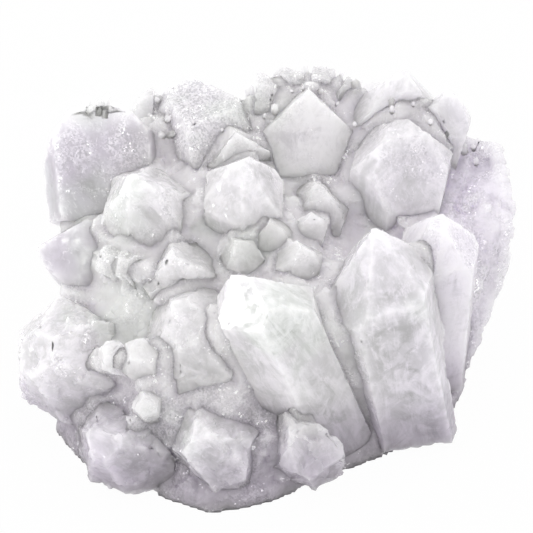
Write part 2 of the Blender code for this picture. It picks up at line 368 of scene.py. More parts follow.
@dataclass(frozen=True)
class EtchedSparkle:
    """The etched skin of quartz: tiny facets, with painted glints on some of them."""

    patch: float = 11 * MM
    patch_step: tuple = (0.66, 0.92)
    amount_share: float = 0.5
    tiny: float = 0.55 * MM
    rare_step: tuple = (0.86, 0.88)
    speckle_step: tuple = (0.1, 0.9)
    clump: float = 4 * MM
    clump_step: tuple = (0.54, 0.62)
    pit: float = 1.3 * MM
    pit_share: float = 0.6
    grain: float = 0.9 * MM
    level: float = 0.8
    skin_share: float = 0.5
    growth_step: float = 2.2 * MM
    growth_share: float = 0.22

    def make(self) -> bpy.types.NodeTree:
        """Builds the node group.

        Returns:
            A group that puts out the masks Frost and Speckle, the mask of the painted glints, and the skin's
            Height.
        """
        masks = ("Frost", "Glint", "Speckle", "Height")
        group, sheet, given, out = new_group(
            "etched_sparkle", {"Amount": (NUMBER, 0.5)}, {mask: NUMBER for mask in masks}
        )
        where = sheet.grown(turn=(0.4, 0.1, 0.9))
        patches = sheet.cloud(where, self.patch, 6.0, 0.66, 0.6)
        amount = sheet.calc("MULTIPLY", given.outputs["Amount"], self.amount_share)
        frost = sheet.between(sheet.calc("ADD", amount, patches), self.patch_step)
        sheet.feed(out.inputs["Frost"], frost)
        chance = sheet.channels(sheet.cells(where, self.tiny).outputs["Color"])
        sheet.feed(out.inputs["Speckle"], sheet.between(chance.outputs[2], self.speckle_step))
        # Painted glints: rare tiny cells, in clumps, on the frosted skin.
        rare = sheet.between(chance.outputs[0], self.rare_step)
        clumps = sheet.between(sheet.cloud(where, self.clump, 4.0), self.clump_step)
        sheet.feed(out.inputs["Glint"], sheet.calc("MULTIPLY", rare, sheet.calc("MULTIPLY", clumps, frost)))
        sheet.feed(out.inputs["Height"], self.height(sheet, where, frost))
        return group

    def height(
        self, sheet: Sheet, where: bpy.types.NodeSocket, frost: bpy.types.NodeSocket
    ) -> bpy.types.NodeSocket:
        """Pits and grain where the skin is frosted, and growth steps all over.

        Args:
            sheet: the group's tree.
            where: the coordinates.
            frost: the mask of the frosted skin.

        Returns:
            The height.
        """
        pits = sheet.cells(where, self.pit, "SMOOTH_F1").outputs["Distance"]
        grain = sheet.cloud(where, self.grain, 4.0, 0.65)
        rough = sheet.calc("ADD", sheet.calc("MULTIPLY", pits, self.pit_share), grain, clamp=False)
        centred = sheet.calc("SUBTRACT", rough, self.level, clamp=False)
        skin = sheet.calc("MULTIPLY", centred, frost, clamp=False)
        steps = sheet.cloud(sheet.grown((0.2, 0.2, 1.6)), self.growth_step, 4.0, 0.55)
        shallow = sheet.calc("MULTIPLY", skin, self.skin_share, clamp=False)
        return sheet.calc("ADD", shallow, sheet.calc("MULTIPLY", steps, self.growth_share), clamp=False)


@dataclass(frozen=True)
class ClusterTintAndPaintedShade:
    """Colour over the whole cluster: greenish grey at the left and crown, and painted shade: a lilac tint to
    the right and low down, and darker toward the foot.
    """

    grey: tuple = (1.0, 0.968, 1.0, 1.0)
    green: tuple = (0.975, 0.982, 0.965, 1.0)
    # The lilac tint and the shade colour are painted shade: lilac to the right and low down, the shade colour
    # toward the foot.
    lilac_shade: tuple = (0.965, 0.912, 1.0, 1.0)
    shade: tuple = (0.56, 0.51, 0.585, 1.0)
    rightward: tuple = (5 * MM, 75 * MM)
    downward: tuple = (5 * MM, 36 * MM)
    foot: tuple = (3 * MM, 34 * MM)
    lilac_cloud: float = 34 * MM
    lilac_step: tuple = (0.3, 0.6)
    green_cloud: float = 26 * MM
    green_step: tuple = (0.5, 0.68)

    def make(self) -> bpy.types.NodeTree:
        """Builds the node group.

        Returns:
            A group that multiplies a colour by the tint and the painted shade at each place.
        """
        group, sheet, given, out = new_group("cluster_tint", {"Color": (COLOUR, WHITE)}, {"Color": COLOUR})
        split = sheet.add("ShaderNodeSeparateXYZ")
        sheet.feed(split.inputs[0], sheet.place())
        # Painted shade: a lilac tint to the right and low down, on the sides where the shade falls.
        right = sheet.between(split.outputs[0], self.rightward)
        low = sheet.between(split.outputs[2], self.downward, 1.0, 0.0)
        patchy = sheet.cloud(sheet.place(), self.lilac_cloud, 2.0, 0.5)
        uneven = sheet.between(patchy, self.lilac_step, 0.5, 1.0)
        lilac_shade = sheet.calc("MULTIPLY", sheet.calc("MAXIMUM", right, low), uneven)
        greenish = sheet.cloud(sheet.place(turn=(0.7, 0.2, 0.1)), self.green_cloud, 2.0)
        tint = sheet.blend(sheet.between(greenish, self.green_step), self.grey, self.green)
        tint = sheet.blend(lilac_shade, tint, self.lilac_shade)
        # Painted shade: darker toward the foot.
        tint = sheet.blend(sheet.between(split.outputs[2], self.foot, 1.0, 0.0), tint, self.shade)
        product = sheet.add("ShaderNodeMix", data_type="RGBA", blend_type="MULTIPLY")
        product.inputs[0].default_value = 1.0
        sheet.feed(product.inputs[6], given.outputs["Color"])
        sheet.feed(product.inputs[7], tint)
        sheet.feed(out.inputs["Color"], product.outputs[2])
        return group


WISP = (0.88, 0.88, 0.89, 1.0)
FROST = (0.93, 0.93, 0.94, 1.0)
PIT = (0.42, 0.42, 0.43, 1.0)
# Painted light: the colour that crevices near the bare massive quartz are lightened toward.
CREVICE_LIGHT = (0.90, 0.90, 0.90, 1.0)
# Lighter rims along the crystals' edges, partly wear and partly painted highlight; the same colour lightens
# lines in the crust of the massive quartz.
WORN_AND_LIT_EDGE = (0.95, 0.95, 0.96, 1.0)
WHITE = (1.0, 1.0, 1.0, 1.0)
BLACK = (0.0, 0.0, 0.0, 1.0)
FULL = (0.0, 1.0)
ETCHED_SHARE = 0.38
QUARTZ_IOR = 1.54


@dataclass(frozen=True)
class QuartzFinish:
    """How one kind of quartz looks."""

    name: str
    slot: Slot
    body: tuple
    deep: tuple
    milk: tuple
    milkiness: float
    etching: float
    smooth: float
    rough: float
    bump: float
    glow: float = 22 * MM
    # How strongly the painted glints glow.
    painted_glint_glow: float = 0.5
    glint_gloss: float = 0.15
    facet_clearness: float = 0.45
    facet_dulling: float = 0.10

    def make(self, groups: dict) -> bpy.types.Material:
        """Builds the material.

        Args:
            groups: the shared node groups by name.

        Returns:
            The material.
        """
        made = bpy.data.materials.new(self.name)
        made.use_nodes = True
        sheet = Sheet(made.node_tree)
        shader = made.node_tree.nodes["Principled BSDF"]
        inside = sheet.add("ShaderNodeGroup", node_tree=groups["growth_veils"])
        inside.inputs["Milkiness"].default_value = self.milkiness
        skin = sheet.add("ShaderNodeGroup", node_tree=groups["etched_sparkle"])
        etched = sheet.calc("MULTIPLY", sheet.attribute("etched"), ETCHED_SHARE)
        sheet.feed(skin.inputs["Amount"], sheet.calc("ADD", etched, self.etching))
        facet = sheet.attribute("facet")

        tint = sheet.add("ShaderNodeGroup", node_tree=groups["cluster_tint"])
        sheet.feed(tint.inputs["Color"], self.colour(sheet, inside, skin, facet))
        sheet.feed(shader.inputs["Base Color"], tint.outputs["Color"])
        gloss = sheet.between(skin.outputs["Frost"], FULL, self.smooth, self.rough)
        dulled = sheet.calc("ADD", gloss, sheet.calc("MULTIPLY", facet, self.facet_dulling))
        bright = sheet.between(skin.outputs["Glint"], FULL, 1.0, self.glint_gloss)
        sheet.feed(shader.inputs["Roughness"], sheet.calc("MULTIPLY", dulled, bright))
        relief = sheet.add("ShaderNodeBump")
        relief.inputs["Strength"].default_value = 1.0
        relief.inputs["Distance"].default_value = self.bump
        sheet.feed(relief.inputs["Height"], skin.outputs["Height"])
        sheet.feed(shader.inputs["Normal"], relief.outputs[0])
        # The painted glints glow white, though no lamp is there.
        sheet.feed(shader.inputs["Emission Color"], sheet.blend(skin.outputs["Glint"], BLACK, WHITE))
        shader.inputs["Emission Strength"].default_value = self.painted_glint_glow
        shader.inputs["IOR"].default_value = QUARTZ_IOR
        shader.inputs["Subsurface Weight"].default_value = 1.0
        shader.inputs["Subsurface Radius"].default_value = (1.0, 1.0, 1.05)
        shader.inputs["Subsurface Scale"].default_value = self.glow
        return made

    def colour(
        self, sheet: Sheet, inside: bpy.types.Node, skin: bpy.types.Node, facet: bpy.types.NodeSocket
    ) -> bpy.types.NodeSocket:
        """Lays the quartz's colours over one another, with painted light in the crevices, rims lighter from
        wear and painted highlight, and painted glints.

        Args:
            sheet: the material's tree.
            inside: the group of veils.
            skin: the group of the etched skin.
            facet: a number that differs from face to face.

        Returns:
            The colour socket.
        """
        clearness = sheet.between(facet, FULL, 1.0, self.facet_clearness)
        seen_in = sheet.calc("MULTIPLY", sheet.attribute("core"), clearness)
        base = sheet.blend(sheet.calc("MULTIPLY", inside.outputs["Depth"], seen_in), self.body, self.deep)
        layers = (  # a mask, how much it covers, its colour
            (inside.outputs["Veil"], 0.8, self.milk),
            (inside.outputs["Fracture"], 0.5, WISP),
            (inside.outputs["Fibre"], 0.4, WISP),
            (inside.outputs["Plane"], 0.22, self.milk),
            (skin.outputs["Frost"], 0.55, sheet.blend(skin.outputs["Speckle"], PIT, FROST)),
            # painted light in the crevices
            (sheet.attribute("hollow"), 0.65, CREVICE_LIGHT),
            # rims painted lighter: partly wear, partly painted highlight
            (sheet.attribute("edge"), 0.75, WORN_AND_LIT_EDGE),
        )
        for mask, cover, colour in layers:
            base = sheet.blend(sheet.calc("MULTIPLY", mask, cover), base, colour)
        # The painted glints are white over the colour.
        return sheet.blend(skin.outputs["Glint"], base, WHITE)


CLEAR = QuartzFinish(
    "clear_quartz", Slot.CLEAR,
    body=(0.62, 0.63, 0.62, 1.0), deep=(0.40, 0.415, 0.39, 1.0), milk=(0.86, 0.86, 0.87, 1.0),
    milkiness=0.35, etching=0.05, smooth=0.10, rough=0.42, bump=0.35 * MM,
)
MILKY = QuartzFinish(
    "milky_quartz", Slot.CLEAR,
    body=(0.69, 0.69, 0.69, 1.0), deep=(0.50, 0.51, 0.50, 1.0), milk=(0.89, 0.89, 0.90, 1.0),
    milkiness=0.7, etching=0.15, smooth=0.18, rough=0.5, bump=0.45 * MM,
)
SUGARY = QuartzFinish(
    "sugary_quartz", Slot.CLEAR,
    body=(0.74, 0.74, 0.74, 1.0), deep=(0.52, 0.52, 0.53, 1.0), milk=(0.92, 0.92, 0.93, 1.0),
    milkiness=0.6, etching=0.4, smooth=0.15, rough=0.4, bump=0.6 * MM,
)
HAZY = QuartzFinish(
    "hazy_quartz", Slot.CLEAR,
    body=(0.47, 0.455, 0.485, 1.0), deep=(0.39, 0.39, 0.39, 1.0), milk=(0.57, 0.56, 0.59, 1.0),
    milkiness=0.4, etching=0.15, smooth=0.28, rough=0.5, bump=0.45 * MM,
)
FROSTED = QuartzFinish(
    "frosted_quartz", Slot.FROSTED,
    body=(0.57, 0.57, 0.58, 1.0), deep=(0.40, 0.405, 0.40, 1.0), milk=(0.80, 0.80, 0.82, 1.0),
    milkiness=0.5, etching=0.75, smooth=0.2, rough=0.45, bump=0.9 * MM,
)
MASSIVE = QuartzFinish(
    "massive_quartz", Slot.MASSIVE,
    body=(0.66, 0.66, 0.67, 1.0), deep=(0.46, 0.465, 0.46, 1.0), milk=(0.86, 0.86, 0.87, 1.0),
    milkiness=0.6, etching=0.4, smooth=0.24, rough=0.55, bump=0.6 * MM,
)


# ---------------------------------------------------------------- shaping

MERGE_DISTANCE = 0.02 * MM
FLAT_ANGLE = math.radians(1.0)


def work_on(piece: bpy.types.Object) -> None:
    """Selects one piece and nothing else.

    Args:
        piece: the object.
    """
    bpy.ops.object.select_all(action="DESELECT")
    piece.select_set(True)
    bpy.context.view_layer.objects.active = piece


def apply_modifier(piece: bpy.types.Object, kind: str, **settings: object) -> None:
    """Adds a modifier and applies it.

    Args:
        piece: the object.
        kind: the modifier's type.
        settings: its properties.
    """
    work_on(piece)
    modifier = piece.modifiers.new(kind.lower(), kind)
    for name, value in settings.items():
        setattr(modifier, name, value)
    bpy.ops.object.modifier_apply(modifier=modifier.name)


def copy_of_node(node: str, name: str) -> bpy.types.Object:
    """A piece with its own copy of a CAD node's mesh, its loose triangles joined into flat faces.

    Args:
        node: the CAD node.
        name: the piece's name.

    Returns:
        The new piece.
    """
    piece = bpy.data.objects.new(name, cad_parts[node].data.copy())
    piece.data.name = name
    piece.data.materials.clear()
    bpy.context.scene.collection.objects.link(piece)
    work_on(piece)
    bpy.ops.object.mode_set(mode="EDIT")
    bpy.ops.mesh.select_all(action="SELECT")
    bpy.ops.mesh.remove_doubles(threshold=MERGE_DISTANCE)
    bpy.ops.mesh.dissolve_limited(angle_limit=FLAT_ANGLE)
    bpy.ops.object.mode_set(mode="OBJECT")
    return piece


def read_points(piece: bpy.types.Object, what: str) -> np.ndarray:
    """Three numbers for each point of a mesh.

    Args:
        piece: the object.
        what: the property, such as co or normal.

    Returns:
        One row a point.
    """
    flat = np.empty(len(piece.data.vertices) * 3, np.float32)
    piece.data.vertices.foreach_get(what, flat)
    return flat.reshape(-1, 3).astype(float)


def points_of(piece: bpy.types.Object) -> np.ndarray:
    """The places of a mesh's points, one row each."""
    return read_points(piece, "co")


def normals_of(piece: bpy.types.Object) -> np.ndarray:
    """The outward directions of a mesh's points, one row each."""
    return read_points(piece, "normal")


def move_points(piece: bpy.types.Object, points: np.ndarray) -> None:
    """Puts a mesh's points where they are told."""
    piece.data.vertices.foreach_set("co", points.astype(np.float32).ravel())
    piece.data.update()


def give(piece: bpy.types.Object, name: str, values: np.ndarray) -> None:
    """Writes a number for each point of a mesh, for its finish to read.

    Args:
        piece: the object.
        name: the attribute's name.
        values: one number for each point, or one for all.
    """
    numbers = np.full(len(piece.data.vertices), values, np.float32)
    made = piece.data.attributes.get(name) or piece.data.attributes.new(name, "FLOAT", "POINT")
    made.data.foreach_set("value", numbers)


def relief(points: np.ndarray, size: float, layers: int = 1, offset: float = 0.0) -> np.ndarray:
    """Smooth noise at each point, about -1 to 1.

    Args:
        points: places, one row each.
        size: a bump's size in metres.
        layers: finer layers added, each half as large and half as strong.
        offset: moves the pattern, in bumps.

    Returns:
        One number a point.
    """
    shift = Vector((offset, 1.7 * offset, -0.6 * offset))
    total = np.zeros(len(points))
    for layer in range(layers):
        scale = 2.0**layer / size
        total += np.array([noise.noise(Vector(p) * scale + shift) for p in points]) / 2.0**layer
    return total


def broken(points: np.ndarray, size: float, offset: float = 0.0) -> np.ndarray:
    """A surface broken in small flat facets, about -1 to 1 at each point.

    Args:
        points: places, one row each.
        size: a facet's size in metres.
        offset: moves the pattern, in facets.

    Returns:
        One number a point.
    """
    shift = Vector((offset, -0.8 * offset, 1.3 * offset))
    out = np.empty(len(points))
    for index, point in enumerate(points):
        place = Vector(point) / size + shift
        cell = noise.voronoi(place)[1][0]
        out[index] = (place - cell).dot(noise.noise_vector(cell * 7.3).normalized())
    return out


def give_place(piece: bpy.types.Object, places: np.ndarray) -> None:
    """Writes the coordinates that a piece's finish is laid out in.

    Args:
        piece: the object.
        places: one row for each point.
    """
    made = piece.data.attributes.get("grown") or piece.data.attributes.new("grown", "FLOAT_VECTOR", "POINT")
    made.data.foreach_set("vector", places.astype(np.float32).ravel())


def ramp(values: np.ndarray, start: float, end: float) -> np.ndarray:
    """Rises from 0 at start to 1 at end."""
    return np.clip((values - start) / (end - start), 0.0, 1.0)


def join(pieces: list, name: str) -> bpy.types.Object:
    """Makes one piece of several.

    Args:
        pieces: the objects; the first one takes in the others.
        name: the joined piece's name.

    Returns:
        The joined piece.
    """
    bpy.ops.object.select_all(action="DESELECT")
    for piece in pieces:
        piece.select_set(True)
    bpy.context.view_layer.objects.active = pieces[0]
    bpy.ops.object.join()
    pieces[0].name = name
    return pieces[0]


def settle(piece: bpy.types.Object, finish: "QuartzFinish", materials: dict, node: str = "") -> None:
    """Gives a piece its finish and its place in the model.

    Args:
        piece: the object.
        finish: what it is made of.
        materials: the materials by name.
        node: the CAD node that it stands for, if there is one.
    """
    piece.data.materials.append(materials[finish.name])
    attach(piece, BODY)
    if node:
        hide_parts(node)
    log.info("%s: %d faces", piece.name, len(piece.data.polygons))


@dataclass
class Facets:
    """The flat faces that bound one crystal."""

    normals: np.ndarray
    offsets: np.ndarray
    areas: np.ndarray

    @staticmethod
    def of(piece: bpy.types.Object) -> "Facets":
        """Reads them from a mesh of flat faces.

        Args:
            piece: the object.

        Returns:
            Its facets.
        """
        faces = piece.data.polygons
        normals = np.array([face.normal[:] for face in faces])
        centres = np.array([face.center[:] for face in faces])
        return Facets(normals, (normals * centres).sum(1), np.array([face.area for face in faces]))

    def depths(self, points: np.ndarray) -> np.ndarray:
        """How far inside each face each point is: one row a point, one column a face."""
        return self.offsets[None, :] - points @ self.normals.T

    def axis(self) -> Vector:
        """The crystal's long direction, across which most of its faces stand.

        Returns:
            A unit vector that doesn't point down.
        """
        spread = (self.normals * self.areas[:, None]).T @ self.normals
        long = Vector(np.linalg.eigh(spread)[1][:, 0])
        return long if long.z >= 0 else -long

    def upright(self, points: np.ndarray) -> np.ndarray:
        """The points turned so that the crystal's long direction is +Z."""
        turn = np.array(self.axis().rotation_difference(Vector((0, 0, 1))).to_matrix())
        return points @ turn.T


@dataclass(frozen=True)
class Habit:
    """How a crystal's surface grew and wore: how deep each feature goes, and how large it is."""

    wave: float = 0.12 * MM
    breaks: float = 0.04 * MM
    chips: float = 0.5 * MM
    pits: float = 0.04 * MM
    etched: float = 0.25
    bevel: float = 0.25 * MM
    wave_size: float = 11 * MM
    break_size: float = 6 * MM
    chip_size: float = 4.2 * MM
    chip_least: float = 0.05
    chip_strength: float = 1.6
    pit_size: float = 2.4 * MM
    pit_least: float = 0.3
    rim: float = 1.8 * MM
    # edge, edge_size, edge_share and edge_change shape the lighter rims, partly wear and partly painted
    # highlight.
    edge: float = 0.85 * MM
    edge_size: float = 3 * MM
    edge_share: float = 0.55
    edge_change: float = 1.6
    core: float = 4.5 * MM


SMOOTH = Habit()
STEPPED = Habit(wave=0.2 * MM, breaks=0.12 * MM, chips=0.8 * MM, pits=0.08 * MM, etched=0.35)
ROUGH = Habit(wave=0.3 * MM, breaks=0.5 * MM, chips=1.2 * MM, pits=0.2 * MM, etched=0.8, bevel=0.25 * MM)
LUMPY = Habit(wave=0.5 * MM, breaks=0.8 * MM, chips=1.4 * MM, pits=0.2 * MM, etched=0.6, bevel=0.3 * MM)


@dataclass
class GrownCrystal:
    """One large crystal of the crown or the flanks."""

    node: str
    habit: Habit = SMOOTH
    finish: QuartzFinish = CLEAR
    cell: float = 0.8 * MM
    seed: int = 0
    foot: float = 3 * MM
    spread: float = 0.1
    sharpest: float = math.radians(28)
    bevelled: float = math.radians(12)
    piece: bpy.types.Object = field(init=False, default=None)
    facets: Facets = field(init=False, default=None)

    def model(self) -> None:
        """Copies the CAD crystal, eases its edges, refines it and works its surface."""
        self.piece = copy_of_node(self.node, self.node.replace("crystal", "quartz"))
        self.facets = Facets.of(self.piece)
        self.ease_edges()
        self.refine()
        self.work_surface()
        work_on(self.piece)
        bpy.ops.object.shade_smooth_by_angle(angle=self.sharpest)

    def ease_edges(self) -> None:
        """Takes the sharpness off the edges."""
        apply_modifier(
            self.piece, "BEVEL", width=self.habit.bevel, segments=1, limit_method="ANGLE",
            angle_limit=self.bevelled, use_clamp_overlap=True,
        )

    def refine(self) -> None:
        """Lays a fine, even grid over the faces and keeps the edges."""
        size = max(self.piece.dimensions)
        depth = max(4, min(8, math.ceil(math.log2(size / self.cell))))
        share = min(0.99, size / self.cell / 2**depth)
        apply_modifier(
            self.piece, "REMESH", mode="SHARP", octree_depth=depth, scale=share, sharpness=1.0,
            use_remove_disconnected=False,
        )
        apply_modifier(self.piece, "TRIANGULATE")

    def work_surface(self) -> None:
        """Waves, growth steps, etched pits and chipped edges, and what the finish reads of them."""
        habit = self.habit
        points = points_of(self.piece)
        away = np.abs(self.facets.depths(points))
        order = np.argsort(away, axis=1)
        nearest = order[:, 0]
        second = np.take_along_axis(away, order[:, 1:2], axis=1)[:, 0]
        draw = random.Random(self.seed)
        shade = np.array([draw.random() for _ in self.facets.areas])
        etched = np.array([float(draw.random() < habit.etched) for _ in self.facets.areas])
        out = habit.wave * relief(points, habit.wave_size, 2, self.seed)
        out += habit.breaks * broken(points, habit.break_size, self.seed + 31)
        chip = np.clip(relief(points, habit.chip_size, 3, self.seed + 57) - habit.chip_least, 0.0, 1.0)
        out -= habit.chips * habit.chip_strength * chip * np.exp(-second / habit.rim)
        pit = np.abs(relief(points, habit.pit_size, 2, self.seed + 83))
        out -= habit.pits * pit * (habit.pit_least + etched[nearest])
        normal = (self.facets.normals[nearest] + normals_of(self.piece)) / 2
        move_points(self.piece, points + normal * (out * ramp(points[:, 2], 0.0, self.foot))[:, None])
        # The rims are painted lighter along the edges: partly wear, partly a painted highlight.
        worn_and_lit = habit.edge_share + habit.edge_change * relief(points, habit.edge_size, 2, self.seed + 7)
        give(self.piece, "edge", np.exp(-second / habit.edge) * np.clip(worn_and_lit, 0.0, 1.0))
        give(self.piece, "facet", shade[nearest])
        give(self.piece, "etched", etched[nearest])
        give(self.piece, "core", 1.0 - np.exp(-second / habit.core))
        apart = self.spread * np.array([draw.random() for _ in range(3)])
        give_place(self.piece, self.facets.upright(points) + apart)

    def dress(self, materials: dict) -> None:
        """Gives the piece its finish and its place in the model."""
        settle(self.piece, self.finish, materials, self.node)


CRYSTALS = (
    GrownCrystal("crystal_front_centre", SMOOTH, CLEAR),
    GrownCrystal("crystal_right_low", STEPPED, MILKY),
    GrownCrystal("crystal_front_right", STEPPED, CLEAR),
    GrownCrystal("crystal_bright_hexagon", STEPPED, SUGARY),
    GrownCrystal("crystal_centre", STEPPED, CLEAR),
    GrownCrystal("crystal_right_front", STEPPED, CLEAR),
    GrownCrystal("crystal_right_back", SMOOTH, CLEAR),
    GrownCrystal("crystal_left_point", SMOOTH, HAZY),
    GrownCrystal("crystal_left_block", SMOOTH, HAZY),
    GrownCrystal("crystal_left_lump", LUMPY, CLEAR),
    GrownCrystal("crystal_left_hexagon", ROUGH, CLEAR),
    GrownCrystal("crystal_top_left", ROUGH, FROSTED),
    GrownCrystal("crystal_left_middle", ROUGH, CLEAR),
    GrownCrystal("crystal_centre_back", ROUGH, CLEAR),
    GrownCrystal("crystal_hollow", ROUGH, CLEAR),
    GrownCrystal("crystal_between", ROUGH, CLEAR),
    GrownCrystal("crystal_small_upper", STEPPED, CLEAR),
    GrownCrystal("crystal_small_middle", STEPPED, MILKY),
    GrownCrystal("crystal_small_lower", STEPPED, CLEAR),
    GrownCrystal("crystal_small_left", STEPPED, CLEAR),
    GrownCrystal("crystal_bead_outer", ROUGH, SUGARY, 0.6 * MM),
    GrownCrystal("crystal_bead_inner", ROUGH, SUGARY, 0.6 * MM),
    GrownCrystal("crystal_flank_tooth", STEPPED, MILKY, 0.6 * MM),
    GrownCrystal("crystal_flank_chip", STEPPED, MILKY, 0.6 * MM),
    GrownCrystal("crystal_flank_finger", STEPPED, MILKY, 0.6 * MM),
    GrownCrystal("crystal_base_left", LUMPY, CLEAR),
    GrownCrystal("crystal_base_front", LUMPY, CLEAR),
    GrownCrystal("crystal_base_middle", LUMPY, CLEAR),
    GrownCrystal("crystal_ridge_knob", STEPPED, CLEAR, 0.6 * MM),
    GrownCrystal("crystal_ridge_a", ROUGH, FROSTED),
    GrownCrystal("crystal_ridge_b", ROUGH, FROSTED),
    GrownCrystal("crystal_ridge_c", ROUGH, FROSTED),
    GrownCrystal("crystal_ridge_left", STEPPED, CLEAR),
    GrownCrystal("crystal_far_right", STEPPED, CLEAR),
    GrownCrystal("crystal_back_left", STEPPED, CLEAR),
    GrownCrystal("crystal_back_middle", STEPPED, MILKY),
    GrownCrystal("crystal_back_right", STEPPED, CLEAR),
    GrownCrystal("crystal_back_low", ROUGH, CLEAR),
    GrownCrystal("crystal_right_side", STEPPED, CLEAR),
)


def light_crevices(bare: np.ndarray, reach: float = 2.6 * MM) -> None:
    """Tells each crystal's finish how near the bare massive quartz is; there it is painted lighter, painted
    light in the crevices where shade falls.

    Args:
        bare: points of the massive quartz that no crystal covers.
        reach: how far the painted crevice light carries.
    """
    tree = KDTree(len(bare))
    for index, point in enumerate(bare):
        tree.insert(point, index)
    tree.balance()
    for crystal in CRYSTALS:
        points = points_of(crystal.piece)
        away = np.array([tree.find(point)[2] for point in points])
        give(crystal.piece, "hollow", np.exp(-away / reach))


def in_crystals(points: np.ndarray) -> np.ndarray:
    """How far inside the nearest crystal each point is.

    Args:
        points: places, one row each.

    Returns:
        Metres, negative outside every crystal.
    """
    best = np.full(len(points), -1.0)
    for crystal in CRYSTALS:
        best = np.maximum(best, crystal.facets.depths(points).min(1))
    return best


@dataclass
class MassiveQuartz:
    """The broken, grainy mass that the crystals grow out of. It rises a little way up between them."""

    node: str = "matrix"
    cell: float = 1.15 * MM
    closing: float = 4.8 * MM
    rounds: int = 10
    last_rounds: int = 6
    bare_gap: tuple = (0.6 * MM, 2.0 * MM)
    sunk: float = 1.0 * MM
    coarse: float = 1.3 * MM
    coarse_size: float = 12 * MM
    facet: float = 1.6 * MM
    facet_size: float = 8 * MM
    grain: float = 0.8 * MM
    grain_size: float = 3.6 * MM
    crust_size: float = 5 * MM
    crust_least: float = 0.6
    swell: float = 2.0 * MM
    right: tuple = (45 * MM, 70 * MM)
    upper: tuple = (25 * MM, 45 * MM)
    # Painted light in the bare valleys: the heights over which it rises, and the lowest bare points that
    # lighten the crystals near them.
    crevice_light_rise: tuple = (22 * MM, 42 * MM)
    crevice_light_lowest: float = 28 * MM
    still: tuple = (0.3 * MM, 5.3 * MM)
    foot: float = 1.3 * MM
    etching: float = 0.4
    sharpest: float = math.radians(30)
    piece: bpy.types.Object = field(init=False, default=None)

    def model(self) -> None:
        """Joins the block and the crystals in one mass, fills its hollows and breaks its surface."""
        block = copy_of_node(self.node, "massive_quartz")
        grown = [copy_of_node(crystal.node, "growth") for crystal in CRYSTALS]
        for copy in [block, *grown]:
            apply_modifier(copy, "DISPLACE", strength=self.closing, mid_level=0.0)
        self.piece = join([block, *grown], "massive_quartz")
        self.fuse(self.rounds)
        apply_modifier(self.piece, "DISPLACE", strength=-self.closing, mid_level=0.0)
        self.fuse(self.last_rounds)
        self.break_surface()
        work_on(self.piece)
        bpy.ops.object.shade_smooth_by_angle(angle=self.sharpest)

    def fuse(self, rounds: int) -> None:
        """Makes one even skin of all that overlaps, and eases it."""
        apply_modifier(self.piece, "REMESH", mode="VOXEL", voxel_size=self.cell)
        apply_modifier(self.piece, "SMOOTH", factor=0.5, iterations=rounds)

    def break_surface(self) -> None:
        """Roughens what no crystal covers, and sinks the rest under the crystals' faces."""
        points = points_of(self.piece)
        bare = ramp(-in_crystals(points), *self.bare_gap)
        right = ramp(points[:, 0], *self.right)
        lumps = relief(points, self.coarse_size, 2, 3.0)
        out = self.coarse * lumps + self.swell * right * ramp(points[:, 2], *self.upper)
        out += self.facet * broken(points, self.facet_size, 5.0)
        out += self.grain * broken(points, self.grain_size, 15.0)
        out = bare * out - self.sunk * (1.0 - bare)
        moved = points + normals_of(self.piece) * (out * ramp(points[:, 2], *self.still))[:, None]
        moved[:, 2] = np.where(moved[:, 2] < self.foot, 0.0, moved[:, 2])
        move_points(self.piece, moved)
        crust = 1.0 - 2.0 * np.abs(relief(points, self.crust_size, 3, 9.0))
        give(self.piece, "edge", np.clip(crust - self.crust_least, 0.0, 1.0) * bare)
        give(self.piece, "facet", 0.5)
        give(self.piece, "etched", np.clip(self.etching + lumps, 0.0, 1.0))
        give(self.piece, "core", 0.5)
        # Painted light: the bare valleys high on the mass, away from the right, are painted lighter where
        # shade would fall.
        give(self.piece, "hollow", bare * ramp(moved[:, 2], *self.crevice_light_rise) * (1.0 - right))
        give_place(self.piece, moved)
        light_crevices(moved[(bare > 0.5) & (moved[:, 2] > self.crevice_light_lowest)])

    def dress(self, materials: dict) -> None:
        """Gives the piece its finish and its place in the model."""
        settle(self.piece, MASSIVE, materials, self.node)


